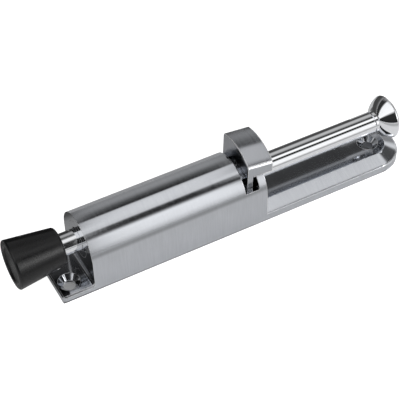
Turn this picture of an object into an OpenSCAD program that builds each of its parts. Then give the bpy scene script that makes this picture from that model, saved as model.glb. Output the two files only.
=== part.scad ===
// Step-on door holder: a sprung plunger with a rubber foot slides in an arched housing
// and a canted pedal plate locks it until the pedal is pressed.
// It lies on its mounting face (z = 0). X runs along the rod, from the rubber foot to the
// step head, and x = 0 is the lower end of the barrel.

/* [Housing] */
// Width of the whole housing
body_w = 35; // [34:0.5:44]
// Height of the straight flanks, where the arch springs
flank_h = 18.1; // [17:0.1:22]
// Length of the arched barrel
barrel_len = 87.6; // [86:0.1:110]
// Length of the open slot that the pedal stands in
slot_len = 8.2; // [8:0.1:10]
// Height of the side walls beside the slot
slot_floor_h = 24.2; // [22:0.1:27]
// Thickness of the bulkhead above the slot
bulkhead_t = 4.2; // [3.5:0.1:6]
// Thickness of the floor under the pedal pocket
pocket_floor = 3.6; // [3:0.1:4.2]
// Wall between the spring chamber and the slot
end_wall = 4; // [3.5:0.1:5]

/* [Plates] */
// Height of the rod's axis above the mounting face
rod_z = 22.15; // [21.8:0.05:24]
// Distance of the upper screw hole from the lower end of the barrel
upper_screw_x = 174; // [172:0.5:200]
// How far the middle of the plate's round end lies short of the upper screw hole
plate_end_back = 1; // [0:0.1:2]
// Height of the upper plate at its edge
plate_edge_h = 3.9; // [3:0.1:5]
// Height of the upper plate's flat top
plate_top_h = 7.8; // [7.2:0.1:8.7]
// Width of the upper plate's flat top
plate_top_w = 20.4; // [18:0.1:24]
// Radius of the rounded lip round the upper plate
plate_lip_r = 0.9; // [0.4:0.1:1.2]
// Length of the lower tab
tab_len = 17.6; // [16.5:0.1:24]
// Thickness of the lower tab
tab_t = 4; // [3:0.1:5]
// Corner radius of the lower tab
tab_corner_r = 2; // [1:0.1:2.8]
// Chamfer along the lower tab's edges
tab_chamfer = 0.7; // [0.3:0.1:1]
// Fillet between the lower tab and the barrel
tab_fillet_r = 1.6; // [0.8:0.1:2.2]

/* [Screw holes] */
// Diameter of the screw holes
screw_hole_d = 6.4; // [5:0.1:6.6]
// Diameter of the countersinks at the surface
sink_d = 11.7; // [10:0.1:12]
// Distance of the lower screws from the lower end of the barrel
lower_screw_x = 10.4; // [9.5:0.1:10.8]
// Distance between the two lower screws
lower_screw_gap = 17; // [14:0.1:18]

/* [Back relief] */
// Thickness of the ribs and the rim on the back
rib_t = 2.2; // [1.5:0.1:3]
// Depth of the relief under the barrel
barrel_relief = 7; // [5:0.1:8]
// Depth of the relief under the upper plate
plate_relief = 3.8; // [3:0.1:4.4]
// Cells along the barrel's relief
barrel_cells = 4; // [3:1:6]
// Cells along the upper plate's relief
plate_cells = 3; // [2:1:5]

/* [Plunger] */
// Diameter of the plunger rod
rod_d = 12; // [11:0.1:12.4]
// How far the plunger travels
stroke = 60; // [55:1:60]
// Gap left between the pedal and the head's seam at the end of the travel
head_gap = 10.6; // [5:0.1:40]
// Depth and width of the seam groove under the head
neck_groove = 0.6; // [0.3:0.1:1]
// Length of the head's straight neck between the seam groove and the flare
neck_len = 1.6; // [0.4:0.1:3]
// Largest diameter of the step head
head_d = 24.2; // [20:0.1:25]
// Radius of the outward curve along the head's flare
flare_r = 14.6; // [13.4:0.1:18]
// Angle at which the flare leaves the neck
flare_start = 58; // [55:1:62]
// Radius of the head's rounded rim
head_rim_r = 1; // [0.8:0.1:1.5]
// Height of the head's domed face above the middle of its rim
dome_h = 5.2; // [4:0.1:8]
// Diameter of the threaded stud in the head
stud_d = 6; // [4:0.1:6]
// Length of the threaded stud on each side of the seam
stud_reach = 8; // [6:0.5:9]

/* [Foot] */
// Distance from the lower end of the barrel to the rubber foot
foot_gap = 9.8; // [9.5:0.1:20]
// Length of the rubber foot
foot_len = 26.6; // [26.3:0.1:40]
// Diameter of the rubber foot at its upper end
foot_top_d = 20.2; // [18:0.1:22]
// Diameter of the rubber foot at its floor end
foot_floor_d = 26.6; // [24:0.1:28]
// Radius of the rounded edge at the foot's upper end
foot_edge_r = 1.6; // [0.5:0.1:2.2]
// Radius of the rounded edge at the foot's floor end
foot_floor_edge_r = 1; // [0.5:0.1:1.4]
// Width of the rim round the foot's floor face
foot_rim_w = 3; // [2:0.1:4]
// Depth of the recessed floor face inside its rim
foot_dish = 0.8; // [0.4:0.1:1.5]
// Length of rod that the foot grips
foot_grip = 16; // [12:0.5:16]
// Rubber left between the rod and the washer
foot_web = 2.5; // [2:0.1:4]
// Diameter of the screw that holds the foot
foot_screw_d = 5; // [4:0.1:6]
// Diameter of the foot screw's head
foot_head_d = 9; // [8:0.1:10]
// Thickness of the foot screw's head
foot_head_t = 2.8; // [2:0.1:3.5]
// Distance across the corners of the foot screw's socket
foot_socket_d = 4; // [3:0.1:5]
// How far the foot screw reaches into the rod
foot_screw_reach = 10; // [8:0.5:14]
// Diameter of the washer under the foot screw
foot_washer_d = 11.4; // [10:0.1:12]
// Thickness of the washer under the foot screw
foot_washer_t = 1; // [0.8:0.1:1.5]
// Thickness of the plug that closes the foot screw's hole
foot_plug_t = 2.4; // [1.5:0.1:2.6]

/* [Spring chamber] */
// Diameter of the spring chamber
bore_d = 20; // [19:0.1:21]
// Thickness of the lower bush's flange
bush_flange_t = 3.4; // [2.5:0.1:5]
// Length of the lower bush's spigot inside the spring
bush_spigot_len = 8.8; // [6:0.1:9]
// Wall of the lower bush's spigot
bush_wall = 1.1; // [0.8:0.1:1.3]
// Thickness of the cover disc over the lower end of the spring chamber
cover_t = 1.5; // [1:0.1:1.5]
// Thickness of the retaining rings
ring_t = 1; // [0.8:0.1:1.2]
// Depth of the retaining rings' grooves
ring_groove = 0.5; // [0.4:0.1:0.7]
// Thickness of the washer that the spring stands on
seat_t = 0.8; // [0.6:0.1:1]
// Thickness of the buffer ring at the end wall
buffer_t = 2; // [1.5:0.1:3]
// Diameter of the buffer ring
buffer_d = 18.8; // [17:0.1:18.8]
// Length of the spring collar
collar_len = 5; // [4:0.1:5.5]
// Wire diameter of the return spring
spring_wire = 1; // [0.8:0.05:1.1]
// Turns of the return spring
spring_turns = 8.5; // [6.5:0.5:8.5]
// Outer diameter of the bulkhead bush
bulkhead_bush_d = 15; // [14.5:0.1:16]

/* [Pedal] */
// Angle that the pedal leans towards the step head when it locks
cant = 2.5; // [2:0.1:3]
// Length of the pedal's hood along the rod
hood_len = 14.5; // [12:0.1:16]
// Width of the pedal
pedal_w = 26.2; // [25.5:0.1:28]
// Thickness of the pedal's leg
leg_t = 3.1; // [2.5:0.1:3.2]
// Height of the top of the pedal
pedal_top_h = 43.8; // [43:0.1:48]
// Radius of the pedal's arched top
hood_r = 28; // [20:0.1:34]
// Distance of the top's crown from the middle, towards the far flank
hood_crown_y = 3.4; // [0:0.1:4]
// Angle at which the pedal's top falls towards the step head
hood_fall = 4.4; // [0:0.1:7]
// Gap between the pedal's hood and the arch of the housing
hood_gap = 0.9; // [0.8:0.1:3]
// Chamfer along the pedal's upper side edges
pedal_chamfer = 0.8; // [0.5:0.1:2]
// Gap between the leg's face and the barrel at the pin
leg_gap = 1.9; // [0.7:0.1:2.1]
// Diameter of the pedal's hinge pin
pin_d = 3; // [2.5:0.1:3.2]
// Height of the hinge pin's axis
pin_z = 7.5; // [7.2:0.1:7.8]
// Distance of the hinge pin from the leg's face
pin_back = 2.6; // [2.4:0.1:2.7]
// Wall of the pedal's eye round the pin
eye_wall = 1.2; // [1:0.05:1.3]
// Depth of the pin's blind hole in the near wall
pin_blind = 1.6; // [1:0.1:2]
// Thickness of the hard locking plate
lock_t = 1.6; // [1.2:0.1:1.8]
// Width of the locking plate
lock_w = 19; // [17:0.1:20]
// Distance from the rod's axis to the upper end of the locking plate
lock_reach = 12.2; // [11.8:0.1:12.4]
// Diameter of the rivets in the locking plate
rivet_d = 2.6; // [2:0.1:3]
// Wire diameter of the pedal's springs
kick_wire = 0.5; // [0.4:0.05:0.5]
// Outer diameter of the pedal's springs
kick_d = 4; // [3.5:0.1:4.2]
// Turns of the pedal's springs
kick_turns = 4; // [3:0.5:4]
// Depth of the pockets for the pedal's springs
kick_depth = 3; // [2.8:0.1:3.1]
// Distance of the pedal's springs from the middle
kick_y = 10.4; // [10:0.1:11]

/* [Clearances] */
// Radial play of the rod in its bushes
run_play = 0.05; // [0.03:0.01:0.1]
// Radial play of parts pressed or clipped into a bore
press_play = 0.03; // [0.01:0.01:0.05]
// Radial play of the pin in the pedal's eye
pin_play = 0.1; // [0.05:0.01:0.1]
// Radial room round loose parts in the spring chamber
bore_play = 0.4; // [0.3:0.05:0.6]
// Radial room of the rod in the locking plate
lock_play = 0.3; // [0.3:0.05:0.4]
// Radial room of the rod in the pedal's leg
leg_play = 1.3; // [1:0.1:1.5]
// Side room of the pedal in its pocket
side_play = 0.4; // [0.3:0.05:0.6]
// Gap between parts that lie close without touching
loose_gap = 0.3; // [0.3:0.05:0.4]
// Gap between a spring's end and its seat
spring_gap = 0.05; // [0.02:0.01:0.1]

/* [Hidden] */
$fn = 96;

// Far reach of cuts that pass right out of a solid
beyond = 1;
half_w = body_w / 2;
rod_r = rod_d / 2;
bore_r = bore_d / 2;

// Stations along the housing
slot_end_x = barrel_len + slot_len;
bulkhead_x = slot_end_x + bulkhead_t;
chamber_x = barrel_len - end_wall;
pocket_w = pedal_w + 2 * side_play;

// Stations in the spring chamber
ring_x = cover_t + press_play;
bush_x = ring_x + ring_t + press_play;
seat_x = bush_x + bush_flange_t;
spring_x = seat_x + seat_t;
collar_top_x = chamber_x - buffer_t;
collar_x = collar_top_x - collar_len;
ring_lap = 1.5;
ring_ear = 1;
clip_x = collar_top_x - ring_t - ring_groove;
clip_r = rod_r + ring_lap;
spring_r = bore_r - bore_play - spring_wire / 2;
spigot_r = rod_r + run_play + bush_wall;

// Stations of the foot
foot_x = -foot_gap;
foot_floor_x = foot_x - foot_len;
rod_x = foot_x - foot_grip;
washer_seat_x = rod_x - foot_web;
counter_r = foot_washer_d / 2 + bore_play;

// Stations of the pedal, standing square; the cant then turns it about the pin
leg_x = barrel_len + leg_gap;
pin_x = leg_x + pin_back;
lock_x = leg_x + leg_t;
hood_under_r = half_w + hood_gap;
hood_z = pedal_top_h - hood_r / cos(hood_fall);
eye_r = pin_d / 2 + eye_wall;
leg_hole_z = hole_height(leg_x + leg_t / 2);
lock_hole_z = hole_height(lock_x + lock_t / 2);
lock_foot_z = pin_z + eye_r + loose_gap;
rivet_margin = 1;
rivet_reach = rod_r + leg_play + rivet_d / 2 + rivet_margin;
kick_x = barrel_len - kick_depth;
kick_len = leg_x + (rod_z - pin_z) * tan(cant) - kick_x - kick_d / 2 * tan(cant) - spring_gap;

// Stations of the head, which stays clear of the pedal at the end of the travel
neck_x = leg_x + hood_len + stroke + head_gap;
flare_x = neck_x + neck_groove + neck_len;
rim_mid_r = head_d / 2 - head_rim_r;
flare_mid_x = flare_x + flare_r * sin(flare_start);
flare_mid_r = rod_r - flare_r * cos(flare_start);
head_rim_x = flare_mid_x - sqrt(pow(flare_r - head_rim_r, 2) - pow(rim_mid_r - flare_mid_r, 2));

// Height of a hole in the square pedal that meets the rod's axis once it is canted
function hole_height(x) = pin_z + (rod_z - pin_z + (x - pin_x) * sin(cant)) / cos(cant);

// Springs: rings along each turn and sides of the wire
turn_rings = 8;
wire_sides = 6;

// Centre of ring i on a helix along X
function helix_point(i, radius, pitch) =
    [pitch * i / turn_rings, radius * cos(360 * i / turn_rings), radius * sin(360 * i / turn_rings)];

// Unit vector along the wire at ring i
function helix_along(i, radius, pitch) =
    let (a = 360 * i / turn_rings, v = [pitch, -2 * PI * radius * sin(a), 2 * PI * radius * cos(a)])
    v / norm(v);

// Outward unit vector at ring i
function helix_out(i) = [0, cos(360 * i / turn_rings), sin(360 * i / turn_rings)];

// Points of the wire's section at ring i
function helix_ring(i, radius, pitch, wire) =
    let (out = helix_out(i), side = cross(helix_along(i, radius, pitch), out))
    [for (k = [0:wire_sides - 1])
        helix_point(i, radius, pitch)
        + wire / 2 * (cos(360 * k / wire_sides) * out + sin(360 * k / wire_sides) * side)];

// Least gap between one stretch of wire and the others, measured on the ring centres
function helix_gap(rings, radius, pitch, wire) =
    min([for (i = [0:rings - turn_rings / 2]) for (j = [i + turn_rings / 2:rings])
        norm(helix_point(i, radius, pitch) - helix_point(j, radius, pitch))]) - wire;

// A coil spring along X between x = 0 and x = length, as one unbroken tube
module coil(length, radius, wire, turns) {
    rings = floor(turns * turn_rings);
    pitch = (length - wire) * turn_rings / rings;
    ends = [[for (k = [1:wire_sides - 2]) [0, k, k + 1]],
            [for (k = [1:wire_sides - 2]) rings * wire_sides * [1, 1, 1] + [0, k + 1, k]]];
    sides = [for (i = [0:rings - 1]) for (k = [0:wire_sides - 1])
        let (a = i * wire_sides + k, b = i * wire_sides + (k + 1) % wire_sides)
        for (half = [0:1]) half == 0 ? [a, a + wire_sides, b] : [b, a + wire_sides, b + wire_sides]];
    echo(least_gap_mm = helix_gap(rings, radius, pitch, wire));
    translate([wire / 2, 0, 0])
        polyhedron(
            points = [for (i = [0:rings]) each helix_ring(i, radius, pitch, wire)],
            faces = concat(ends[0], ends[1], sides));
}

// A turned solid about the rod's axis from points of radius and x
module turned(points) {
    translate([0, 0, rod_z])
        rotate([0, 90, 0])
            rotate_extrude()
                polygon(points);
}

// A plain cylinder about the rod's axis from x0 to x1
module round_bar(radius, x0, x1) {
    translate([x0, 0, rod_z])
        rotate([0, 90, 0])
            cylinder(r = radius, h = x1 - x0);
}

// A tube about the rod's axis from x0 to x1
module tube(outer, inner, x0, x1) {
    difference() {
        round_bar(outer, x0, x1);
        round_bar(inner, x0 - beyond, x1 + beyond);
    }
}

// Extrudes a section in Y and Z along X from x0 to x1
module along(x0, x1) {
    translate([x0, 0, 0])
        rotate([90, 0, 90])
            linear_extrude(x1 - x0)
                children();
}

// Section of the arched barrel
module arch_section() {
    translate([-half_w, 0])
        square([body_w, flank_h]);
    translate([0, flank_h])
        circle(r = half_w);
}

// Half section of the upper plate: edge, rounded lip, slope and flat top
module plate_half_section() {
    union() {
        polygon([[0, 0], [half_w, 0], [half_w, plate_edge_h], [half_w - plate_lip_r, plate_edge_h + plate_lip_r],
                 [plate_top_w / 2, plate_top_h], [0, plate_top_h]]);
        translate([half_w - plate_lip_r, plate_edge_h])
            circle(r = plate_lip_r);
    }
}

// Upper plate with its round end
module upper_plate() {
    end_x = upper_screw_x - plate_end_back;
    along(slot_end_x, end_x) {
        plate_half_section();
        mirror([1, 0])
            plate_half_section();
    }
    translate([end_x, 0, 0])
        rotate_extrude()
            plate_half_section();
}

// Outline of the lower tab, seen from above
module tab_outline() {
    translate([-tab_len + tab_corner_r, -half_w])
        square([tab_len - tab_corner_r, body_w]);
    translate([-tab_len, -half_w + tab_corner_r])
        square([tab_len, body_w - 2 * tab_corner_r]);
    for (side = [-1, 1])
        translate([-tab_len + tab_corner_r, side * (half_w - tab_corner_r)])
            circle(r = tab_corner_r);
}

// Lower tab with chamfered edges and a fillet against the barrel
module lower_tab() {
    cut = tab_chamfer * sqrt(2);
    difference() {
        linear_extrude(tab_t)
            tab_outline();
        for (side = [-1, 1])
            translate([-tab_len / 2, side * half_w, tab_t])
                rotate([45, 0, 0])
                    cube([tab_len + 2 * beyond, cut, cut], center = true);
        translate([-tab_len, 0, tab_t])
            rotate([0, 45, 0])
                cube([cut, body_w + 2 * beyond, cut], center = true);
    }
    difference() {
        translate([-tab_fillet_r, -half_w + tab_chamfer, 0])
            cube([tab_fillet_r, body_w - 2 * tab_chamfer, tab_t + tab_fillet_r]);
        translate([-tab_fillet_r, 0, tab_t + tab_fillet_r])
            rotate([90, 0, 0])
                cylinder(r = tab_fillet_r, h = body_w + beyond, center = true);
    }
}

// Countersunk screw hole from a surface at height top down through the mounting face
module screw_hole(x, y, top) {
    sink = (sink_d - screw_hole_d) / 2;
    translate([x, y, -beyond])
        cylinder(d = screw_hole_d, h = top + 2 * beyond);
    translate([x, y, top - sink])
        cylinder(d1 = screw_hole_d, d2 = sink_d, h = sink);
    translate([x, y, top])
        cylinder(d = sink_d, h = tab_fillet_r + beyond);
}

// Rows of relief cells in the back, with a rib down the middle
module relief(x0, x1, cells, depth) {
    cell_len = (x1 - x0 - (cells - 1) * rib_t) / cells;
    cell_w = half_w - 1.5 * rib_t;
    for (i = [0:cells - 1])
        for (side = [-1, 1])
            translate([x0 + i * (cell_len + rib_t), side * (cell_w / 2 + rib_t / 2) - cell_w / 2, -beyond])
                cube([cell_len, cell_w, depth + beyond]);
}

// Cast housing: barrel, slot, bulkhead and the two screw plates in one piece
module housing() {
    color([0.66, 0.67, 0.68])
        difference() {
            union() {
                along(0, bulkhead_x)
                    arch_section();
                upper_plate();
                lower_tab();
            }
            translate([barrel_len, -half_w - beyond, slot_floor_h])
                cube([slot_len, body_w + 2 * beyond, flank_h + half_w]);
            translate([barrel_len, -pocket_w / 2, pocket_floor])
                cube([slot_len, pocket_w, slot_floor_h]);
            round_bar(bore_r, -beyond, chamber_x);
            round_bar(rod_r + bore_play, chamber_x - beyond, barrel_len + beyond);
            round_bar(bulkhead_bush_d / 2, slot_end_x - beyond, bulkhead_x + beyond);
            round_bar(bore_r + ring_groove, ring_x, bush_x);
            for (side = [-1, 1]) {
                screw_hole(-lower_screw_x, side * lower_screw_gap / 2, tab_t);
                translate([kick_x, side * kick_y, rod_z])
                    rotate([0, 90, 0])
                        cylinder(r = kick_d / 2 + loose_gap, h = kick_depth + beyond);
            }
            screw_hole(upper_screw_x, 0, plate_top_h);
            translate([pin_x, -pocket_w / 2 - pin_blind, pin_z])
                rotate([-90, 0, 0])
                    cylinder(r = pin_d / 2 + press_play, h = body_w);
            relief(2 * rib_t, chamber_x - rib_t, barrel_cells, barrel_relief);
            relief(bulkhead_x + rib_t, upper_screw_x - sink_d, plate_cells, plate_relief);
        }
}

// Thin metal disc that closes the spring chamber flush with the barrel's lower end
module end_cover() {
    color([0.66, 0.67, 0.68])
        tube(bore_r - press_play, rod_r + bore_play, 0, cover_t);
}

// Flanged plastic bush that guides the rod at the barrel's lower end
module lower_bush() {
    flange_r = bore_r - press_play;
    bore = rod_r + run_play;
    color([0.08, 0.08, 0.09])
        turned([[bore, bush_x], [flange_r, bush_x], [flange_r, seat_x], [spigot_r, seat_x],
                [spigot_r, seat_x + bush_spigot_len], [bore, seat_x + bush_spigot_len]]);
}

// Open ring with two eared ends and plier holes, in the XY plane
module open_ring(outer, inner, ear, inward) {
    gap_angle = 24;
    ear_mid = inward ? inner + ring_groove - ear : outer - ring_groove + ear;
    linear_extrude(ring_t)
        difference() {
            union() {
                difference() {
                    circle(r = outer);
                    circle(r = inner);
                    polygon([[0, 0], 2 * outer * [cos(gap_angle), -sin(gap_angle)],
                             2 * outer * [cos(gap_angle), sin(gap_angle)]]);
                }
                for (side = [-1, 1])
                    rotate(side * gap_angle)
                        translate([ear_mid, 0])
                            circle(r = ear);
            }
            for (side = [-1, 1])
                rotate(side * gap_angle)
                    translate([ear_mid, 0])
                        circle(r = ear / 2);
        }
}

// Inner retaining ring that holds the lower bush in the barrel
module bush_circlip() {
    groove_r = bore_r + ring_groove;
    color([0.35, 0.35, 0.37])
        translate([ring_x, 0, rod_z])
            rotate([0, 90, 0])
                open_ring(groove_r - press_play, groove_r - ring_lap, ring_ear, true);
}

// Plain bush pressed into the bulkhead
module bulkhead_bush() {
    color([0.55, 0.42, 0.25])
        tube(bulkhead_bush_d / 2 - press_play, rod_r + run_play, slot_end_x, bulkhead_x);
}

// Bright plunger rod with its ring groove, screw hole and stud hole
module plunger_rod() {
    groove_r = rod_r - ring_groove;
    color([0.85, 0.85, 0.87])
        difference() {
            round_bar(rod_r, rod_x, neck_x);
            tube(rod_r + beyond, groove_r, clip_x - press_play, clip_x + ring_t + press_play);
            round_bar(foot_screw_d / 2 + press_play, rod_x - beyond, rod_x + foot_screw_reach + beyond);
            round_bar(stud_d / 2 + press_play, neck_x - stud_reach - press_play, neck_x + beyond);
        }
}

// Step head: a short neck, a bulging flare, a rounded rim and a domed face
module step_head() {
    curve_steps = 12;
    flare_end = acos((rim_mid_r - flare_mid_r) / (flare_r - head_rim_r));
    dome_r = (pow(rim_mid_r, 2) + pow(dome_h, 2) - pow(head_rim_r, 2)) / (2 * (dome_h - head_rim_r));
    dome_end = asin(rim_mid_r / (dome_r - head_rim_r));
    stud_r = stud_d / 2 + press_play;
    stud_x = neck_x + stud_reach + press_play;
    flare = [for (i = [0:curve_steps])
        let (a = flare_start + (flare_end - flare_start) * i / curve_steps)
        [flare_mid_r + flare_r * cos(a), flare_mid_x - flare_r * sin(a)]];
    dome = [for (i = [curve_steps:-1:0])
        let (a = dome_end * i / curve_steps)
        [dome_r * sin(a), head_rim_x + dome_h - dome_r * (1 - cos(a))]];
    color([0.85, 0.85, 0.87])
        difference() {
            union() {
                turned(concat([[0, neck_x], [rod_r - neck_groove, neck_x],
                               [rod_r - neck_groove, neck_x + neck_groove], [rod_r, neck_x + neck_groove]],
                              flare, dome));
                round_ring(head_rim_r, rim_mid_r, head_rim_x);
            }
            round_bar(stud_r, neck_x - beyond, stud_x);
        }
}

// Threaded stud that joins the head to the rod
module head_stud() {
    color([0.5, 0.5, 0.52])
        round_bar(stud_d / 2, neck_x - stud_reach, neck_x + stud_reach);
}

// Ring about the rod's axis with a round section, from the section's radius and centre
module round_ring(section_r, mid_r, mid_x) {
    translate([0, 0, rod_z])
        rotate([0, 90, 0])
            rotate_extrude()
                translate([mid_r, mid_x])
                    circle(r = section_r);
}

// Tapered rubber foot, dished at its floor end, with a counterbore for the screw
module rubber_foot() {
    top_r = foot_top_d / 2;
    floor_r = foot_floor_d / 2;
    taper = atan((floor_r - top_r) / foot_len);
    top_x = foot_x - foot_edge_r;
    top_mid_r = top_r - foot_edge_r / cos(taper) + foot_edge_r * tan(taper);
    floor_x = foot_floor_x + foot_floor_edge_r;
    floor_mid_r = floor_r - foot_floor_edge_r / cos(taper) - foot_floor_edge_r * tan(taper);
    dish_r = floor_r - foot_rim_w;
    slope = [cos(taper), sin(taper)];
    color([0.07, 0.07, 0.075])
        difference() {
            union() {
                turned([[0, foot_floor_x + foot_dish], [dish_r - foot_dish, foot_floor_x + foot_dish],
                        [dish_r, foot_floor_x], [floor_mid_r, foot_floor_x],
                        [floor_mid_r, floor_x] + foot_floor_edge_r * slope,
                        [top_mid_r, top_x] + foot_edge_r * slope,
                        [top_mid_r, foot_x], [0, foot_x]]);
                round_ring(foot_floor_edge_r, floor_mid_r, floor_x);
                round_ring(foot_edge_r, top_mid_r, top_x);
            }
            round_bar(rod_r + press_play, rod_x, foot_x + beyond);
            round_bar(counter_r, foot_floor_x - beyond, washer_seat_x);
            round_bar(foot_screw_d / 2 + bore_play, washer_seat_x - beyond, rod_x + beyond);
        }
}

// Rubber plug that closes the foot screw's hole, flush with the dished floor face
module foot_plug() {
    color([0.07, 0.07, 0.075])
        round_bar(counter_r - press_play, foot_floor_x + foot_dish, foot_floor_x + foot_dish + foot_plug_t);
}

// Washer between the foot screw and the rubber
module foot_washer() {
    color([0.6, 0.6, 0.62])
        tube(foot_washer_d / 2, foot_screw_d / 2 + bore_play / 2, washer_seat_x - foot_washer_t, washer_seat_x);
}

// Hexagon socket screw that holds the rubber foot to the rod
module foot_screw() {
    head_x = washer_seat_x - foot_washer_t;
    color([0.55, 0.55, 0.57])
        difference() {
            union() {
                round_bar(foot_head_d / 2, head_x - foot_head_t, head_x);
                round_bar(foot_screw_d / 2, head_x - foot_head_t / 2, rod_x + foot_screw_reach);
            }
            translate([head_x - foot_head_t - beyond, 0, rod_z])
                rotate([0, 90, 0])
                    cylinder(d = foot_socket_d, h = foot_head_t / 2 + beyond, $fn = 6);
        }
}

// Return spring between its seat washer and the collar
module return_spring() {
    color([0.45, 0.46, 0.48])
        translate([spring_x + spring_gap, 0, rod_z])
            coil(collar_x - spring_x - 2 * spring_gap, spring_r, spring_wire, spring_turns);
}

// Steel washer that the return spring stands on
module seat_washer() {
    color([0.6, 0.6, 0.62])
        tube(bore_r - bore_play, spigot_r + bore_play / 2, seat_x, spring_x);
}

// Collar that carries the spring's load to the rod through the retaining ring
module spring_collar() {
    color([0.62, 0.62, 0.6])
        difference() {
            tube(bore_r - bore_play, rod_r + run_play, collar_x, collar_top_x);
            round_bar(clip_r + bore_play, clip_x, collar_top_x + beyond);
        }
}

// Outer retaining ring in the rod's groove, sunk in the collar's face
module collar_circlip() {
    ring_r = clip_r - ring_groove;
    color([0.35, 0.35, 0.37])
        translate([clip_x, 0, rod_z])
            rotate([0, 90, 0])
                open_ring(ring_r, rod_r - ring_groove + press_play, ring_groove, false);
}

// Rubber ring that the collar comes to rest against
module buffer_ring() {
    color([0.1, 0.1, 0.1])
        tube(buffer_d / 2, rod_r + bore_play, collar_top_x, chamber_x);
}

// Leans a piece of the pedal about the hinge pin
module canted() {
    translate([pin_x, 0, pin_z])
        rotate([0, cant, 0])
            translate([-pin_x, 0, -pin_z])
                children();
}

// Block of the pedal from the leg's face to x1, from a height up to the arched, falling top
module pedal_block(x1, from_z) {
    cut = pedal_chamfer * sqrt(2);
    difference() {
        intersection() {
            translate([leg_x, -pedal_w / 2, from_z])
                cube([x1 - leg_x, pedal_w, pedal_top_h + beyond - from_z]);
            translate([leg_x, hood_crown_y, hood_z])
                rotate([0, 90 + hood_fall, 0])
                    cylinder(r = hood_r, h = 2 * (hood_len + hood_r), center = true);
        }
        for (side = [-1, 1])
            translate([leg_x, side * pedal_w / 2, hood_z + side_edge_h(side)])
                rotate([0, hood_fall, 0])
                    rotate([45, 0, 0])
                        cube([2 * (hood_len + beyond), cut, cut], center = true);
    }
}

// Height of the top's edge on one side, above the axis of the top's arch
function side_edge_h(side) = sqrt(pow(hood_r, 2) - pow(pedal_w / 2 - side * hood_crown_y, 2)) / cos(hood_fall);

// Cast release pedal: the hood over the bulkhead and the leg down into the pocket
module release_pedal() {
    color([0.5, 0.51, 0.52])
        canted()
            difference() {
                union() {
                    pedal_block(leg_x + leg_t, pin_z);
                    difference() {
                        pedal_block(leg_x + hood_len, slot_floor_h);
                        along(leg_x - beyond, leg_x + hood_len + beyond)
                            translate([0, flank_h])
                                circle(r = hood_under_r);
                    }
                    translate([pin_x, 0, pin_z])
                        rotate([90, 0, 0])
                            cylinder(r = eye_r, h = pedal_w, center = true);
                }
                translate([leg_x - beyond, 0, leg_hole_z])
                    rotate([0, 90, 0])
                        cylinder(r = rod_r + leg_play, h = leg_t + 2 * beyond);
                translate([pin_x, 0, pin_z])
                    rotate([90, 0, 0])
                        cylinder(r = pin_d / 2 + pin_play, h = pedal_w + 2 * beyond, center = true);
                rivet_holes();
            }
}

// Holes for the rivets through the leg and the locking plate
module rivet_holes() {
    for (side = [-1, 1])
        translate([leg_x - beyond, 0, lock_hole_z + side * rivet_reach])
            rotate([0, 90, 0])
                cylinder(r = rivet_d / 2 + press_play, h = leg_t + lock_t + 2 * beyond);
}

// Hard steel plate whose hole grips the rod when it is canted, with top corners that clear the hood
module locking_plate() {
    color([0.4, 0.41, 0.43])
        canted()
            difference() {
                intersection() {
                    translate([lock_x, -lock_w / 2, lock_foot_z])
                        cube([lock_t, lock_w, lock_hole_z + lock_reach - lock_foot_z]);
                    along(lock_x - beyond, lock_x + lock_t + beyond)
                        translate([0, flank_h])
                            circle(r = hood_under_r - loose_gap);
                }
                translate([lock_x - beyond, 0, lock_hole_z])
                    rotate([0, 90, 0])
                        cylinder(r = rod_r + lock_play, h = lock_t + 2 * beyond);
                rivet_holes();
            }
}

// Two flush rivets that hold the locking plate to the leg
module plate_rivets() {
    color([0.6, 0.6, 0.62])
        canted()
            for (side = [-1, 1])
                translate([leg_x, 0, lock_hole_z + side * rivet_reach])
                    rotate([0, 90, 0])
                        cylinder(d = rivet_d, h = leg_t + lock_t);
}

// Hinge pin across the pocket, driven in from the far side
module pedal_pin() {
    color([0.6, 0.6, 0.62])
        translate([pin_x, -pocket_w / 2 - pin_blind, pin_z])
            rotate([-90, 0, 0])
                cylinder(d = pin_d, h = half_w + pocket_w / 2 + pin_blind - press_play);
}

// Two small springs that push the pedal back to its cant
module pedal_springs() {
    color([0.45, 0.46, 0.48])
        for (side = [-1, 1])
            translate([kick_x + spring_gap, side * kick_y, rod_z])
                coil(kick_len - 2 * spring_gap, kick_d / 2 - kick_wire / 2, kick_wire, kick_turns);
}

housing();
end_cover();
lower_bush();
bush_circlip();
bulkhead_bush();
plunger_rod();
step_head();
head_stud();
rubber_foot();
foot_plug();
foot_washer();
foot_screw();
return_spring();
seat_washer();
spring_collar();
collar_circlip();
buffer_ring();
release_pedal();
locking_plate();
plate_rivets();
pedal_pin();
pedal_springs();
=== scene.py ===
"""Step-on door holder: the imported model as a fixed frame, dressed and lit in a pale studio."""

import logging
import math
from dataclasses import dataclass
from enum import Enum

import bpy
from mathutils import Matrix, Vector

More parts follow.
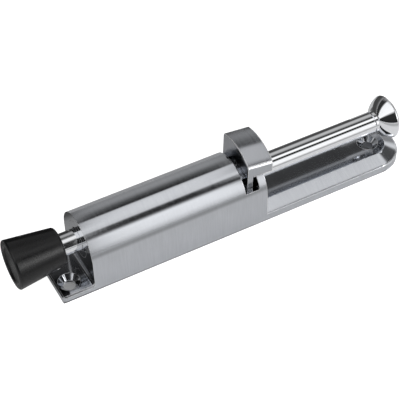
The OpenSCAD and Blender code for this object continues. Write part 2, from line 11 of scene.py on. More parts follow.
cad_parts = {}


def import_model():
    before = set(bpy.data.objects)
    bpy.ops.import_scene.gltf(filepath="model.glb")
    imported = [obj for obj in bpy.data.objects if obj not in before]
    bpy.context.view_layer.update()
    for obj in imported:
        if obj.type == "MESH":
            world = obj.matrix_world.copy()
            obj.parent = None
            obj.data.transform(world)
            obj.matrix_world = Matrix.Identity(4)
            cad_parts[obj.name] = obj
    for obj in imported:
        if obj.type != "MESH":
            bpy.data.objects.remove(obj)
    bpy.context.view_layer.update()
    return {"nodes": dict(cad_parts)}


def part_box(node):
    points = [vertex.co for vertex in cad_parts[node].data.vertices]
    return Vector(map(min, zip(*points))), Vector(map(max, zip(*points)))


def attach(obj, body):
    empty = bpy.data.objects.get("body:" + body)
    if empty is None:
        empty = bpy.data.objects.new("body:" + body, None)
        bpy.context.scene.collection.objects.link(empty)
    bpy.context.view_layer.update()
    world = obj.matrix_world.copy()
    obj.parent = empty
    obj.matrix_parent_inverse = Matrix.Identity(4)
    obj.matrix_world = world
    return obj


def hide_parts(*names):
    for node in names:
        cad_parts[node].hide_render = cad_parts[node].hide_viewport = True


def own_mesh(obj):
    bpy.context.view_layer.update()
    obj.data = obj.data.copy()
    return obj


LOG = logging.getLogger("door_holder")

MM = 0.001
EDGE_HIGHLIGHT_COLOUR = (0.92, 0.92, 0.93)  # painted highlight that the edges of metal are made lighter towards
CLOUD_DETAIL = 4.0  # fineness of clouds, of patches and of a moulded skin
EDGE_SAMPLES = 6  # rays for each look round an edge
EDGE_COSINES = (0.97, 0.995)  # of the normal's turn where an edge shows in full, and where it ends

Colour = tuple[float, float, float]
Point = tuple[float, float, float]
Span = tuple[float, float]
Bands = tuple[tuple[float, float], ...]  # levels of light or shade, each after its angle or place


class Body(Enum):
    """The moving group that the rebuilt springs ride on."""

    BASE = "base"


class Slot(Enum):
    """The record's material slot that the rebuilt springs take their finish from."""

    SPRING = "spring_steel"


class Lay(Enum):
    """Which way the fine marks of a metal run, as a stretch of the texture for each axis."""

    ROUND_THE_ROD = (1.0, 0.05, 0.05)
    CAST = (1.0, 1.0, 1.0)


def grey(level: float) -> Colour:
    """Returns a neutral colour."""
    return (level, level, level)


def turn_place(angle: float) -> float:
    """Returns the place from 0 to 1 of an angle in degrees that runs from -180 to 180."""
    return (angle + 180.0) / 360.0


def shade(colour: Colour, factor: float) -> Colour:
    """Returns a colour made darker or lighter by a factor, kept at or below white."""
    return tuple(min(1.0, part * factor) for part in colour)


def mesh_object(name: str, points: list[Vector] | list[Point],
                faces: list[tuple[int, ...]]) -> bpy.types.Object:
    """Adds a mesh to the scene.

    Args:
        name: the name of the mesh and of its object.
        points: its corners, in metres.
        faces: its faces by corner number.

    Returns:
        The new object.
    """
    mesh = bpy.data.meshes.new(name)
    mesh.from_pydata([tuple(point) for point in points], [], faces)
    piece = bpy.data.objects.new(name, mesh)
    bpy.context.scene.collection.objects.link(piece)
    return piece


class NodeTree:
    """A short hand for building shader nodes and links.

    Args:
        tree: the node tree to fill; what it holds is cleared.
    """

    def __init__(self, tree: bpy.types.NodeTree) -> None:
        """Clears the tree and keeps it."""
        self.tree = tree
        self.tree.nodes.clear()

    def add(self, kind: str, **settings: object) -> bpy.types.Node:
        """Adds a node and sets its properties.

        Args:
            kind: the node's type name.
            settings: properties by name.

        Returns:
            The new node.
        """
        node = self.tree.nodes.new(kind)
        for name, value in settings.items():
            setattr(node, name, value)
        return node

    def link(self, source: bpy.types.NodeSocket, target: bpy.types.NodeSocket) -> None:
        """Links one socket to another."""
        self.tree.links.new(source, target)

    def feed(self, target: bpy.types.NodeSocket, value: object) -> None:
        """Links a socket to a target, or writes a plain value there.

        Args:
            target: the input socket.
            value: an output socket, a number or a tuple.
        """
        if isinstance(value, bpy.types.NodeSocket):
            self.link(value, target)
        else:
            target.default_value = value

    def math(self, operation: str, *values: object) -> bpy.types.NodeSocket:
        """Adds a math node on one to three values and returns its output."""
        node = self.add("ShaderNodeMath", operation=operation)
        for socket, value in zip(node.inputs, values):
            self.feed(socket, value)
        return node.outputs[0]

    def ramp(self, factor: bpy.types.NodeSocket,
             stops: tuple[tuple[float, Colour], ...]) -> bpy.types.NodeSocket:
        """Adds a colour ramp.

        Args:
            factor: what drives the ramp.
            stops: places from 0 to 1, in order, each with its colour.

        Returns:
            The ramp's colour output.
        """
        node = self.add("ShaderNodeValToRGB")
        elements = node.color_ramp.elements
        while len(elements) > 1:
            elements.remove(elements[-1])
        elements[0].position = stops[0][0]
        elements[0].color = (*stops[0][1], 1.0)
        for place, colour in stops[1:]:
            element = elements.new(place)
            element.color = (*colour, 1.0)
        self.link(factor, node.inputs[0])
        return node.outputs[0]

    def mix(self, factor: bpy.types.NodeSocket, first: object, second: object) -> bpy.types.NodeSocket:
        """Mixes two colours.

        Args:
            factor: 0 for the first colour alone and 1 for the second alone.
            first: a colour socket, or a colour with its alpha.
            second: the same.

        Returns:
            The mixed colour.
        """
        node = self.add("ShaderNodeMix", data_type="RGBA")
        self.link(factor, node.inputs["Factor"])
        self.feed(node.inputs["A"], first)
        self.feed(node.inputs["B"], second)
        return node.outputs["Result"]

    def span(self, factor: bpy.types.NodeSocket, low: float, high: float,
             source: Span = (0.0, 1.0)) -> bpy.types.NodeSocket:
        """Maps a factor from one range onto another.

        Args:
            factor: what is mapped.
            low: result at the low end of the source range.
            high: result at its high end.
            source: the source range.

        Returns:
            The mapped value.
        """
        node = self.add("ShaderNodeMapRange")
        self.link(factor, node.inputs["Value"])
        node.inputs["From Min"].default_value = source[0]
        node.inputs["From Max"].default_value = source[1]
        node.inputs["To Min"].default_value = low
        node.inputs["To Max"].default_value = high
        return node.outputs[0]

    def noise(self, vector: bpy.types.NodeSocket, scale: float, detail: float = 3.0) -> bpy.types.NodeSocket:
        """Adds a noise texture on a vector and returns its factor."""
        node = self.add("ShaderNodeTexNoise")
        self.link(vector, node.inputs["Vector"])
        node.inputs["Scale"].default_value = scale
        node.inputs["Detail"].default_value = detail
        return node.outputs[0]

    def place(self, stretch: Point = (1.0, 1.0, 1.0)) -> bpy.types.NodeSocket:
        """Returns object coordinates multiplied by a stretch for each axis."""
        coordinates = self.add("ShaderNodeTexCoord")
        mapping = self.add("ShaderNodeMapping")
        mapping.inputs["Scale"].default_value = stretch
        self.link(coordinates.outputs["Object"], mapping.inputs["Vector"])
        return mapping.outputs[0]

    def parts(self, vector: bpy.types.NodeSocket) -> bpy.types.NodeOutputs:
        """Returns the X, Y and Z of a vector."""
        node = self.add("ShaderNodeSeparateXYZ")
        self.link(vector, node.inputs[0])
        return node.outputs

    def angle_place(self, vector: bpy.types.NodeSocket) -> bpy.types.NodeSocket:
        """Places the angle of a vector about X on a scale from 0 to 1.

        Args:
            vector: a direction, or a place from a point on the axis.

        Returns:
            0.5 straight up, less towards the far side and more towards the near side.
        """
        part = self.parts(vector)
        near = self.math("MULTIPLY", part["Y"], -1.0)
        turn = self.math("ARCTAN2", near, part["Z"])
        return self.math("ADD", self.math("DIVIDE", turn, 2.0 * math.pi), 0.5)

    def true_normal(self) -> bpy.types.NodeSocket:
        """Returns the normal of the bare mesh."""
        return self.add("ShaderNodeNewGeometry").outputs["True Normal"]

    def end_faces(self, cosine: float) -> bpy.types.NodeSocket:
        """Finds the faces that look along the rod.

        Args:
            cosine: the least cosine between their normal and the rod.

        Returns:
            1 on such a face and 0 elsewhere.
        """
        along = self.math("ABSOLUTE", self.parts(self.true_normal())["X"])
        return self.math("GREATER_THAN", along, cosine)

    def rounding(self, radius: float) -> bpy.types.NodeSocket:
        """Returns the normal with the edges rounded by a radius in metres."""
        node = self.add("ShaderNodeBevel", samples=EDGE_SAMPLES)
        node.inputs["Radius"].default_value = radius
        return node.outputs[0]

    def edges(self, radius: float) -> bpy.types.NodeSocket:
        """Finds the sharp edges of a piece.

        Args:
            radius: how far from an edge it still shows, in metres.

        Returns:
            1 on an edge and 0 away from it.
        """
        turn = self.add("ShaderNodeVectorMath", operation="DOT_PRODUCT")
        self.link(self.rounding(radius), turn.inputs[0])
        self.link(self.true_normal(), turn.inputs[1])
        return self.span(turn.outputs["Value"], 1.0, 0.0, source=EDGE_COSINES)

    def bump(self, height: bpy.types.NodeSocket, strength: float, distance: float,
             edge: float = 0.0) -> bpy.types.NodeSocket:
        """Adds a bump over edges that are rounded by a radius.

        Args:
            height: what drives the bump.
            strength: how strongly it shows.
            distance: its depth in metres.
            edge: radius that edges are rounded by, in metres.

        Returns:
            The bent normal.
        """
        node = self.add("ShaderNodeBump")
        node.inputs["Strength"].default_value = strength
        node.inputs["Distance"].default_value = distance
        self.link(height, node.inputs["Height"])
        if edge > 0.0:
            self.link(self.rounding(edge), node.inputs["Normal"])
        return node.outputs[0]

    def surface(self, shader: bpy.types.NodeSocket) -> None:
        """Ends a material's tree with its shader."""
        self.link(shader, self.add("ShaderNodeOutputMaterial").inputs[0])


def blank_material(name: str) -> tuple[bpy.types.Material, NodeTree]:
    """Makes a material with an empty node tree.

    Args:
        name: the material's name.

    Returns:
        The material, and its tree to fill.
    """
    material = bpy.data.materials.new(name)
    material.use_nodes = True
    return material, NodeTree(material.node_tree)


@dataclass(frozen=True)
class MetalFinish:
    """A bare or plated metal with fine marks, soft clouds, slightly rounded edges and a painted highlight
    along them.

    Attributes:
        name: the material's name.
        colour: the base colour.
        roughness: lowest and highest roughness.
        lay: which way the marks run.
        grain: marks for each metre across them.
        mark: how strongly the marks show in the bump.
        tint: how much the marks and clouds vary the base colour.
        edge: radius that edges are rounded by, in metres.
        faced: roughness of the smoothest faces that look along the rod, or a negative number if they
            are as the others.
        edge_highlight: how far the colour of the edges goes towards a painted highlight of bright metal, from
            0 to 1.
        edge_highlight_rough: how much rougher an edge is that has the painted highlight in full.
        clouds: clouds for each metre.
        mark_share: the marks' share in what varies colour and roughness; the clouds have the rest.
        mark_depth: depth of the marks, in metres.
        tint_reach: levels of marks and clouds between which the colour changes.
        rough_reach: levels between which the roughness changes.
        end_cosine: how squarely a face looks along the rod to be faced.
    """

    name: str
    colour: Colour
    roughness: Span
    lay: Lay = Lay.CAST
    grain: float = 1500.0
    mark: float = 0.05
    tint: float = 0.04
    edge: float = 0.0
    faced: float = -1.0
    edge_highlight: float = 0.0
    edge_highlight_rough: float = 0.4
    clouds: float = 90.0
    mark_share: float = 0.6
    mark_depth: float = 0.02 * MM
    tint_reach: Span = (0.35, 0.65)
    rough_reach: Span = (0.3, 0.7)
    end_cosine: float = 0.98

    def build(self) -> bpy.types.Material:
        """Builds the material and returns it."""
        material, nodes = blank_material(self.name)
        shader = nodes.add("ShaderNodeBsdfPrincipled")
        shader.inputs["Metallic"].default_value = 1.0
        marks = nodes.noise(nodes.place(self.lay.value), self.grain)
        clouds = nodes.noise(nodes.place(), self.clouds, CLOUD_DETAIL)
        both = nodes.math("ADD", nodes.math("MULTIPLY", marks, self.mark_share),
                          nodes.math("MULTIPLY", clouds, 1.0 - self.mark_share))
        dark, light = self.tint_reach
        colour = nodes.ramp(both, ((dark, shade(self.colour, 1.0 - self.tint)),
                                   (light, shade(self.colour, 1.0 + self.tint))))
        roughness = nodes.span(both, *self.roughness, source=self.rough_reach)
        if self.faced >= 0.0:
            drop = nodes.math("MULTIPLY", nodes.end_faces(self.end_cosine), self.roughness[0] - self.faced)
            roughness = nodes.math("SUBTRACT", roughness, drop)
        # painted highlight: the edges are made lighter, towards bright metal, and rougher
        if self.edge_highlight > 0.0:
            edge_highlight = nodes.math("MULTIPLY", nodes.edges(self.edge), self.edge_highlight)
            colour = nodes.mix(edge_highlight, colour, (*EDGE_HIGHLIGHT_COLOUR, 1.0))
            roughness = nodes.math("ADD", roughness, nodes.math("MULTIPLY", edge_highlight, self.edge_highlight_rough))
        nodes.link(colour, shader.inputs["Base Color"])
        nodes.link(roughness, shader.inputs["Roughness"])
        nodes.link(nodes.bump(marks, self.mark, self.mark_depth, self.edge), shader.inputs["Normal"])
        nodes.surface(shader.outputs[0])
        return material


@dataclass(frozen=True)
class MouldedFinish:
    """Moulded rubber or plastic with a fine pebbled skin and worn patches.

    Attributes:
        name: the material's name.
        colour: the base colour.
        roughness: lowest and highest roughness.
        pebble: strength of the skin's bump.
        edge: radius that edges are rounded by, in metres.
        sheen: how strongly the skin mirrors the light, as the shader's specular level.
        end_sheen: share of the sheen that is left on faces that look along the rod.
        end_cosine: how squarely such a face looks along the rod.
        skin: pebbles for each metre.
        skin_depth: their depth, in metres.
        patches: worn patches for each metre.
        patch: how many times lighter a worn patch is.
        patch_reach: levels of the patches' noise between which the colour changes.
        rough_reach: levels between which the roughness changes.
    """

    name: str
    colour: Colour
    roughness: Span
    pebble: float = 0.15
    edge: float = 0.0
    sheen: float = 0.5
    end_sheen: float = 0.1
    end_cosine: float = 0.9
    skin: float = 1800.0
    skin_depth: float = 0.03 * MM
    patches: float = 120.0
    patch: float = 1.6
    patch_reach: Span = (0.35, 0.75)
    rough_reach: Span = (0.3, 0.7)

    def build(self) -> bpy.types.Material:
        """Builds the material and returns it."""
        material, nodes = blank_material(self.name)
        shader = nodes.add("ShaderNodeBsdfPrincipled")
        sheen = nodes.span(nodes.end_faces(self.end_cosine), self.sheen, self.end_sheen * self.sheen)
        nodes.link(sheen, shader.inputs["Specular IOR Level"])
        skin = nodes.noise(nodes.place(), self.skin, CLOUD_DETAIL)
        patches = nodes.noise(nodes.place(), self.patches, CLOUD_DETAIL)
        dark, light = self.patch_reach
        colour = nodes.ramp(patches, ((dark, self.colour), (light, shade(self.colour, self.patch))))
        nodes.link(colour, shader.inputs["Base Color"])
        nodes.link(nodes.span(patches, *self.roughness, source=self.rough_reach), shader.inputs["Roughness"])
        nodes.link(nodes.bump(skin, self.pebble, self.skin_depth, self.edge), shader.inputs["Normal"])
        nodes.surface(shader.outputs[0])
        return material


class Finishes:
    """Builds each finish once and lays it on pieces."""

    def __init__(self) -> None:
        """Starts with no finish built."""
        self.built: dict[str, bpy.types.Material] = {}

    def lay(self, piece: bpy.types.Object, finish: MetalFinish | MouldedFinish) -> None:
        """Gives a piece a finish.

        Args:
            piece: the object that gets it.
            finish: the finish; its material is built the first time.
        """
        if finish.name not in self.built:
            self.built[finish.name] = finish.build()
        piece.data.materials.clear()
        piece.data.materials.append(self.built[finish.name])


# The satin housing and the pedal carry a painted highlight along their edges.
SATIN = MetalFinish(
    "satin_housing", colour=(0.550, 0.565, 0.595), roughness=(0.085, 0.135), lay=Lay.ROUND_THE_ROD,
    grain=1400.0, mark=0.06, tint=0.045, edge=0.35 * MM, faced=0.06, edge_highlight=0.9,
)
PEDAL = MetalFinish(
    "satin_pedal", colour=(0.465, 0.478, 0.505), roughness=(0.16, 0.22), lay=Lay.ROUND_THE_ROD,
    grain=1100.0, mark=0.06, tint=0.05, edge=0.8 * MM, edge_highlight=1.0,
)
CHROME = MetalFinish(
    "mirror_chrome", colour=(0.89, 0.90, 0.92), roughness=(0.02, 0.04),
    grain=400.0, mark=0.0, tint=0.01, edge=0.15 * MM,
)
STEEL = MetalFinish(
    "plain_steel", colour=(0.55, 0.55, 0.57), roughness=(0.20, 0.35),
    grain=900.0, tint=0.08, edge=0.1 * MM,
)
HARD = MetalFinish(
    "hard_steel", colour=(0.20, 0.20, 0.21), roughness=(0.25, 0.40),
    grain=900.0, mark=0.08, tint=0.1, edge=0.15 * MM,
)
WIRE = MetalFinish("spring_steel", colour=(0.35, 0.36, 0.38), roughness=(0.20, 0.35), mark=0.04, tint=0.08)
BRONZE = MetalFinish(
    "bearing_bronze", colour=(0.45, 0.33, 0.18), roughness=(0.35, 0.50),
    grain=2500.0, mark=0.12, tint=0.12, edge=0.1 * MM,
)
RUBBER = MouldedFinish(
    "black_rubber", colour=(0.004, 0.004, 0.0045), roughness=(0.24, 0.32),
    pebble=0.12, edge=0.3 * MM, sheen=0.40,
)
PLASTIC = MouldedFinish("black_plastic", colour=(0.02, 0.02, 0.021), roughness=(0.35, 0.5), edge=0.2 * MM)


@dataclass
class SubAssembly:
    """A group of pieces that is dressed, and where need be rebuilt, as one.

    Attributes:
        nodes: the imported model's objects by node name.
        finishes: the finishes that have been built.
    """

    nodes: dict[str, bpy.types.Object]
    finishes: Finishes

    def dress(self, wear: dict[str, MetalFinish | MouldedFinish]) -> None:
        """Lays a finish on each node.

        Args:
            wear: the finish for each node name.
        """
        for name, finish in wear.items():
            self.finishes.lay(self.nodes[name], finish)
            LOG.info("dressed %s", name)

    def add_mesh(self, name: str, points: list[Vector], faces: list[tuple[int, ...]],
                 finish: MetalFinish | MouldedFinish) -> bpy.types.Object:
        """Adds a smoothly shaded mesh piece to the scene and dresses it.

        Args:
            name: the piece's name.
            points: its corners, in metres.
            faces: its faces by corner number.
            finish: the finish it wears.

        Returns:
            The new object.
        """
        piece = mesh_object(name, points, faces)
        piece.data.validate()
        for polygon in piece.data.polygons:
            polygon.use_smooth = True
        self.finishes.lay(piece, finish)
        LOG.info("built %s", name)
        return piece


@dataclass
class Housing(SubAssembly):
    """The cast housing with its end cover, bushes and retaining ring."""

    def build(self) -> None:
        """Dresses the housing's pieces."""
        self.dress({"housing": SATIN, "end_cover": SATIN, "lower_bush": PLASTIC, "bush_circlip": HARD,
                    "bulkhead_bush": BRONZE})


@dataclass
class Plunger(SubAssembly):
    """The polished rod with its step head, joined by a stud."""

    def build(self) -> None:
        """Dresses the plunger's pieces."""
        self.dress({"plunger_rod": CHROME, "step_head": CHROME, "head_stud": STEEL, "collar_circlip": HARD})


@dataclass
class Foot(SubAssembly):
    """The rubber foot with its plug, washer and screw."""

    def build(self) -> None:
        """Dresses the foot's pieces."""
        self.dress({"rubber_foot": RUBBER, "foot_plug": RUBBER, "foot_washer": STEEL, "foot_screw": STEEL})


@dataclass
class CoilSpring:
    """A coil spring along X with closed ends, as a round wire; its lengths are in metres.

    Attributes:
        start: place of the end that stays, on the spring's axis.
        length: length over both ends.
        outer: outer diameter.
        wire: wire diameter.
        turns: open turns.
        closed: closed turns at each end.
        turn_rings: rings of the wire's surface for each turn.
        wire_sides: sides of each ring.
    """

    start: Vector
    length: float
    outer: float
    wire: float
    turns: float
    closed: float = 1.0
    turn_rings: int = 32
    wire_sides: int = 12

    def advance(self, turn: float) -> float:
        """Returns how far along X the wire's middle lies after a number of turns."""
        whole = self.turns + 2.0 * self.closed
        shut = self.closed * self.wire
        open_pitch = (self.length - self.wire - 2.0 * shut) / self.turns
        if turn < self.closed:
            return turn * self.wire
        if turn > whole - self.closed:
            return self.length - self.wire - (whole - turn) * self.wire
        return shut + (turn - self.closed) * open_pitch

    def mesh(self) -> tuple[list[Vector], list[tuple[int, ...]]]:
        """Works out the wire's surface.

        Returns:
            Its points and faces.
        """
        rings = round((self.turns + 2.0 * self.closed) * self.turn_rings)
        radius = (self.outer - self.wire) / 2.0
        points: list[Vector] = []
        for ring in range(rings + 1):
            turn = ring / self.turn_rings
            angle = 2.0 * math.pi * turn
            out = Vector((0.0, math.cos(angle), math.sin(angle)))
            middle = self.start + Vector((self.wire / 2.0 + self.advance(turn), 0.0, 0.0)) + radius * out
            for side in range(self.wire_sides):
                around = 2.0 * math.pi * side / self.wire_sides
                points.append(middle + self.wire / 2.0
                              * (math.cos(around) * out + math.sin(around) * Vector((1.0, 0.0, 0.0))))
        faces: list[tuple[int, ...]] = []
        for ring in range(rings):
            for side in range(self.wire_sides):
                here = ring * self.wire_sides + side
                beside = ring * self.wire_sides + (side + 1) % self.wire_sides
                faces.append((here, here + self.wire_sides, beside + self.wire_sides, beside))
        faces.append(tuple(range(self.wire_sides)))
        last = rings * self.wire_sides
        faces.append(tuple(last + side for side in reversed(range(self.wire_sides))))
        return points, faces


@dataclass
class ReturnSpring(SubAssembly):
    """The return spring with the washer, collar and buffer that it works between.

    Attributes:
        wire: wire diameter of the return spring.
        turns: its open turns.
        travel: how far the plunger travels; not used.
    """

    wire: float = 1.0 * MM
    turns: float = 7.5
    travel: float = 60.0 * MM

    def build(self) -> None:
        """Dresses the pieces and rebuilds the spring as a round wire."""
        self.dress({"return_spring": WIRE, "seat_washer": STEEL, "spring_collar": STEEL,
                    "buffer_ring": RUBBER})
        low, high = (Vector(corner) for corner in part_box("return_spring"))
        middle = (low + high) / 2.0
        start = Vector((low.x, middle.y, middle.z))
        length = high.x - low.x
        coil = CoilSpring(start, length, high.y - low.y, self.wire, self.turns)
        piece = self.add_mesh("return_spring_wire", *coil.mesh(), WIRE)
        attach(piece, Body.BASE.value)
        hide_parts("return_spring")
        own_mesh(piece)


@dataclass
class Pedal(SubAssembly):
    """The release pedal with its locking plate, rivets, hinge pin and two small springs.

    Attributes:
        wire: wire diameter of the small springs.
        turns: their open turns.
        closed: closed turns at each of their ends.
        pressed: share of their length that is left with the pedal pressed; not used.
    """

    wire: float = 0.5 * MM
    turns: float = 3.0
    closed: float = 0.75
    pressed: float = 0.78

    def build(self) -> None:
        """Dresses the pieces and rebuilds the springs as round wires."""
        self.dress({"release_pedal": PEDAL, "locking_plate": HARD, "plate_rivets": STEEL, "pedal_pin": STEEL,
                    "pedal_springs": WIRE})
        low, high = (Vector(corner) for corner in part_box("pedal_springs"))
        outer = high.z - low.z
        springs = []
        for side, edge in ((-1.0, low.y), (1.0, high.y)):
            start = Vector((low.x, edge - side * outer / 2.0, (low.z + high.z) / 2.0))
            coil = CoilSpring(start, high.x - low.x, outer, self.wire, self.turns, self.closed)
            name = "pedal_spring_near" if side < 0.0 else "pedal_spring_far"
            piece = self.add_mesh(name, *coil.mesh(), WIRE)
            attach(piece, Body.BASE.value)
            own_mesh(piece)
            springs.append(piece)
        for piece in springs:
            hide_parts("pedal_springs")


@dataclass(frozen=True)
class StudioCamera:
    """The camera, placed by a bearing about a point near the door holder.

    Attributes:
        azimuth: bearing from -Y, in degrees.
        elevation: height above the floor, in degrees.
        roll: turn about the line of sight, in degrees.
        distance: distance from the point looked at, in metres.
        target: the point looked at.
        lens: focal length in millimetres.
        sensor: sensor width in millimetres.
        clip: nearest distance that shows, in metres.
    """

    azimuth: float = -27.408
    elevation: float = 45.803
    roll: float = -1.407
    distance: float = 0.60352
    target: Point = (0.04411, -0.04886, 0.07158)
    lens: float = 117.873
    sensor: float = 36.0
    clip: float = 0.01

    def build(self) -> bpy.types.Object:
        """Adds the camera to the scene and returns it."""
        azimuth = math.radians(self.azimuth)
        elevation = math.radians(self.elevation)
        roll = math.radians(self.roll)
        back = Vector((math.sin(azimuth) * math.cos(elevation), -math.cos(azimuth) * math.cos(elevation),
                       math.sin(elevation)))
        right = Vector((0.0, 0.0, 1.0)).cross(back).normalized()
        above = back.cross(right)
        turned_right = right * math.cos(roll) + above * math.sin(roll)
        turned_above = above * math.cos(roll) - right * math.sin(roll)
        data = bpy.data.cameras.new("photo_camera")
        data.lens = self.lens
        data.sensor_width = self.sensor
        data.clip_start = self.clip
        camera = bpy.data.objects.new("photo_camera", data)
        bpy.context.scene.collection.objects.link(camera)
        rotation = Matrix((turned_right, turned_above, back)).transposed().to_4x4()
        camera.matrix_world = Matrix.Translation(Vector(self.target) + back * self.distance) @ rotation
        bpy.context.scene.camera = camera
        return camera


@dataclass(frozen=True)
class Card:
    """An upright grey card on the far side of the door holder, which only shows in shiny surfaces.

    Attributes:
        name: the card's name.
        start: place along the rod at which it starts, in metres.
        end: place at which it ends.
        levels: its light by height in metres.
        beside: how far it stands from the rod's middle.
    """

    name: str
    start: float
    end: float
    levels: Bands
    beside: float = 0.022

    def build(self) -> bpy.types.Object:
        """Builds the card and returns it."""
        points = [(x, self.beside, height) for height, _ in self.levels for x in (self.start, self.end)]
        faces = [(2 * step, 2 * step + 1, 2 * step + 3, 2 * step + 2) for step in range(len(self.levels) - 1)]
        card = mesh_object(self.name, points, faces)
        light = card.data.attributes.new("light", "FLOAT", "POINT")
        for index, (_, level) in enumerate(self.levels):
            light.data[2 * index].value = level
            light.data[2 * index + 1].value = level
        material, nodes = blank_material(self.name)
        glow = nodes.add("ShaderNodeEmission")
        level = nodes.add("ShaderNodeAttribute", attribute_name="light").outputs["Fac"]
        nodes.link(level, glow.inputs["Strength"])
        nodes.surface(glow.outputs[0])
        card.data.materials.append(material)
        card.visible_camera = False
        card.visible_diffuse = False
        card.visible_shadow = False
        LOG.info("built %s", self.name)
        return card


@dataclass(frozen=True)
class Room:
    """One stretch of the studio along the rod, lit by long soft boxes with dark gaps between.

    Attributes:
        start: X of a direction at which the stretch begins to show over the one before it.
        full: X of a direction from which on only this stretch shows.
        bands: its light by the angle in degrees from straight up towards the near side.
    """

    start: float
    full: float
    bands: Bands

    def light(self, nodes: NodeTree, around: bpy.types.NodeSocket, brightest: float) -> bpy.types.NodeSocket:
        """Adds the stretch's light to the world.

        Args:
            nodes: the world's node tree.
            around: a direction's angle about the rod, as NodeTree.angle_place gives it.
            brightest: the light that counts as 1.

        Returns:
            The light as a colour.
        """
        stops = tuple((turn_place(angle), grey(level / brightest)) for angle, level in self.bands)
        return nodes.ramp(around, stops)


BARREL_BANDS: Bands = (
    (-100.0, 0.50), (-82.0, 0.38), (-66.0, 0.44), (-58.0, 0.40), (-50.0, 0.28), (-42.0, 0.13), (-33.0, 0.06),
    (-29.0, 0.02), (-25.0, 0.03), (-22.0, 0.90), (-17.0, 1.08), (-3.0, 1.12), (8.0, 1.08), (19.0, 0.94),
    (22.0, 0.10), (27.0, 0.01), (33.0, 0.01), (38.0, 0.15), (43.0, 0.90), (47.0, 1.45), (53.0, 1.38),
    (72.0, 1.28), (80.0, 1.08), (90.0, 0.75), (98.0, 0.40),
)
PEDAL_TURN = 44.0  # up to this angle the pedal has the barrel's light
PEDAL_BANDS: Bands = tuple(band for band in BARREL_BANDS if band[0] < PEDAL_TURN) + (
    (45.0, 4.0), (58.0, 4.0), (62.0, 10.0), (73.0, 10.0), (78.0, 1.1), (90.0, 0.75), (98.0, 0.40),
)
ROD_BANDS: Bands = (
    (-100.0, 0.14), (-75.0, 0.10), (-66.0, 0.14), (-58.0, 0.26), (-48.0, 0.45), (-38.0, 0.54), (-28.0, 0.52),
    (-20.0, 0.40), (-13.0, 0.20), (-6.0, 0.03), (2.0, 0.06), (7.0, 0.30), (10.0, 0.95), (14.0, 1.10),
    (27.0, 1.10), (31.0, 0.50), (34.0, 0.02), (43.0, 0.01), (47.0, 0.12), (52.0, 0.60), (57.0, 1.05),
    (80.0, 1.08), (90.0, 0.95), (98.0, 0.70),
)
STUB_BANDS: Bands = (
    (-100.0, 0.05), (-80.0, 0.03), (-68.0, 0.06), (-56.0, 0.20), (-45.0, 0.42), (-33.0, 0.38), (-21.0, 0.14),
    (-15.0, 0.07), (-9.0, 0.10), (0.0, 0.45), (6.0, 0.90), (28.0, 0.85), (35.0, 0.30), (41.0, 0.06),
    (47.0, 0.02), (60.0, 0.03), (98.0, 0.02),
)
FOOT_BANDS: Bands = (
    (-100.0, 0.35), (-88.0, 0.03), (-32.0, 0.03), (-24.0, 1.0), (30.0, 1.1), (42.0, 0.03), (98.0, 0.02),
)
HEAD_BANDS: Bands = (
    (-100.0, 0.40), (-65.0, 0.35), (-52.0, 0.95), (-38.0, 1.1), (-26.0, 0.12), (10.0, 0.10), (24.0, 0.9),
    (70.0, 1.3), (98.0, 1.3),
)


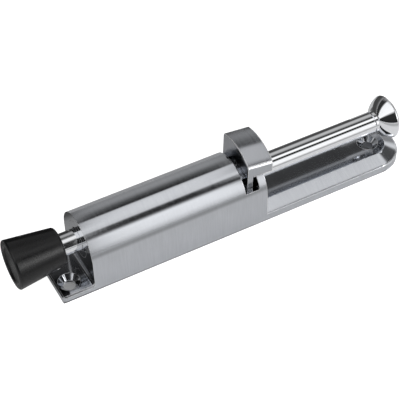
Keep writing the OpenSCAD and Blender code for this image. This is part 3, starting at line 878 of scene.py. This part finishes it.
@dataclass(frozen=True)
class Studio:
    """A pale floor, and a room of long soft boxes and dark gaps that run along the rod.

    Attributes:
        rooms: the room's stretches from the foot's end to the head's end.
        cards: the cards beside the upper plate, the step head, the rubber foot and the lower tab.
        floor_size: width of the floor in metres.
        floor_drop: how far it lies under the mounting face.
        painted_floor_light: painted light and shade on the floor, given as its colour by the distance towards
            the far side, in metres.
        floor_glow: how much of its white the floor gives to the camera by itself.
        floor_shine: how much it gives to the pieces.
        touching: length in metres under which light passes the floor, between it and the mounting face.
    """

    rooms: tuple[Room, ...] = (
        Room(start=-1.0, full=-1.0, bands=FOOT_BANDS),
        Room(start=-0.20, full=0.05, bands=STUB_BANDS),
        Room(start=0.227, full=0.230, bands=BARREL_BANDS),
        Room(start=0.355, full=0.362, bands=ROD_BANDS),
        Room(start=0.463, full=0.470, bands=PEDAL_BANDS),
        Room(start=0.56, full=0.62, bands=HEAD_BANDS),
    )
    cards: tuple[Card, ...] = (
        Card("studio_card_plate", start=0.108, end=0.205,
             levels=((0.0, 0.35), (0.009, 0.35), (0.018, 0.26), (0.024, 0.14), (0.030, 0.06), (0.038, 0.06),
                     (0.042, 0.14), (0.046, 0.34))),
        Card("studio_card_head", start=0.172, end=0.200, levels=((0.008, 0.50), (0.028, 0.50)),
             beside=0.0215),
        Card("studio_card_foot", start=-0.040, end=0.001,
             levels=((0.0, 0.03), (0.004, 0.05), (0.007, 0.32), (0.013, 0.28), (0.017, 0.10), (0.026, 0.05),
                     (0.040, 0.02))),
        Card("studio_card_tab", start=0.001, end=0.014, levels=((0.0, 0.02), (0.017, 0.02))),
    )
    floor_size: float = 6.0
    floor_drop: float = 0.02 * MM
    # painted light and shade on the floor: lightest in a strip beside the near side, darker beyond it and on
    # the far side
    painted_floor_light: Bands = (
        (-0.30, 0.80), (-0.16, 0.55), (-0.10, 0.55), (-0.06, 1.0), (-0.01, 1.0), (0.03, 0.55), (0.30, 0.55),
    )
    floor_glow: float = 0.95
    floor_shine: float = 0.10
    touching: float = 1.0 * MM

    def build(self) -> None:
        """Builds the world, the cards and the floor."""
        bpy.context.scene.view_settings.view_transform = "Standard"
        self.build_world()
        for card in self.cards:
            card.build()
        self.build_floor()

    @property
    def brightest(self) -> float:
        """The room's brightest light."""
        return max(light for room in self.rooms for _, light in room.bands)

    def build_world(self) -> None:
        """Lights the world by its rooms and shows it white to the camera."""
        world = bpy.data.worlds.new("studio_room")
        bpy.context.scene.world = world
        world.use_nodes = True
        nodes = NodeTree(world.node_tree)
        direction = nodes.add("ShaderNodeTexCoord").outputs["Generated"]
        around = nodes.angle_place(direction)
        along = nodes.parts(direction)["X"]
        first, *others = self.rooms
        light = first.light(nodes, around, self.brightest)
        for room in others:
            shown = nodes.span(along, 0.0, 1.0, source=(room.start, room.full))
            light = nodes.mix(shown, light, room.light(nodes, around, self.brightest))
        boxes = nodes.add("ShaderNodeBackground")
        boxes.inputs["Strength"].default_value = self.brightest
        nodes.link(light, boxes.inputs["Color"])
        white = nodes.add("ShaderNodeBackground")
        white.inputs["Color"].default_value = (1.0, 1.0, 1.0, 1.0)
        seen = nodes.add("ShaderNodeMixShader")
        nodes.link(nodes.add("ShaderNodeLightPath").outputs["Is Camera Ray"], seen.inputs[0])
        nodes.link(boxes.outputs[0], seen.inputs[1])
        nodes.link(white.outputs[0], seen.inputs[2])
        nodes.link(seen.outputs[0], nodes.add("ShaderNodeOutputWorld").inputs[0])

    def paint_floor_light(self, nodes: NodeTree, y: bpy.types.NodeSocket) -> bpy.types.NodeSocket:
        """Paints light and shade on the floor by the distance towards the far side.

        Args:
            nodes: the floor's node tree.
            y: that distance.

        Returns:
            The paint's shader.
        """
        first, last = self.painted_floor_light[0][0], self.painted_floor_light[-1][0]
        stops = tuple(((place - first) / (last - first), grey(level)) for place, level in self.painted_floor_light)
        paint = nodes.add("ShaderNodeBsdfDiffuse")
        nodes.link(nodes.ramp(nodes.span(y, 0.0, 1.0, source=(first, last)), stops), paint.inputs["Color"])
        return paint.outputs[0]

    def off_the_housing(self, nodes: NodeTree, x: bpy.types.NodeSocket,
                        y: bpy.types.NodeSocket) -> bpy.types.NodeSocket:
        """Finds the floor that the housing doesn't stand on.

        Args:
            nodes: the floor's node tree.
            x: place along the rod.
            y: place towards the far side.

        Returns:
            0 inside the housing's outline, which has a round upper end, and 1 outside it.
        """
        low, high = (Vector(corner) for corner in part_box("housing"))
        round_end = (high.y - low.y) / 2.0
        run = nodes.math("MAXIMUM", nodes.math("SUBTRACT", x, high.x - round_end), 0.0)
        square = nodes.math("ADD", nodes.math("POWER", run, 2.0),
                            nodes.math("POWER", nodes.math("ABSOLUTE", y), 2.0))
        return nodes.math("MAXIMUM", nodes.math("GREATER_THAN", square, round_end ** 2),
                          nodes.math("LESS_THAN", x, low.x))

    def build_floor(self) -> None:
        """Lays the pale floor under the mounting face, clear from below, with no glow under the housing."""
        half = self.floor_size / 2.0
        outline = ((-half, -half), (half, -half), (half, half), (-half, half))
        corners = [(x, y, -self.floor_drop) for x, y in outline]
        floor = mesh_object("studio_floor", corners, [(0, 1, 2, 3)])
        material, nodes = blank_material("studio_floor")
        place = nodes.parts(nodes.place())
        path = nodes.add("ShaderNodeLightPath").outputs
        seen = nodes.span(path["Is Camera Ray"], self.floor_shine, self.floor_glow)
        glow = nodes.add("ShaderNodeEmission")
        outside = self.off_the_housing(nodes, place["X"], place["Y"])
        nodes.link(nodes.math("MULTIPLY", seen, outside), glow.inputs["Strength"])
        lit = nodes.add("ShaderNodeAddShader")
        # the floor's colour carries painted light and shade by the distance towards the far side
        nodes.link(self.paint_floor_light(nodes, place["Y"]), lit.inputs[0])
        nodes.link(glow.outputs[0], lit.inputs[1])
        below = nodes.add("ShaderNodeNewGeometry").outputs["Backfacing"]
        close = nodes.math("LESS_THAN", path["Ray Length"], self.touching)
        clear = nodes.add("ShaderNodeMixShader")
        nodes.link(nodes.math("MAXIMUM", below, close), clear.inputs[0])
        nodes.link(lit.outputs[0], clear.inputs[1])
        nodes.link(nodes.add("ShaderNodeBsdfTransparent").outputs[0], clear.inputs[2])
        nodes.surface(clear.outputs[0])
        floor.data.materials.append(material)


def main() -> None:
    """Builds the camera, the studio and the door holder's sub-assemblies in order."""
    logging.basicConfig(level=logging.INFO, format="%(message)s")
    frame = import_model()
    StudioCamera().build()
    Studio().build()
    finishes = Finishes()
    for part in (Housing, Plunger, Foot, ReturnSpring, Pedal):
        part(frame["nodes"], finishes).build()
        LOG.info("finished %s", part.__name__)


if __name__ == "__main__":
    main()
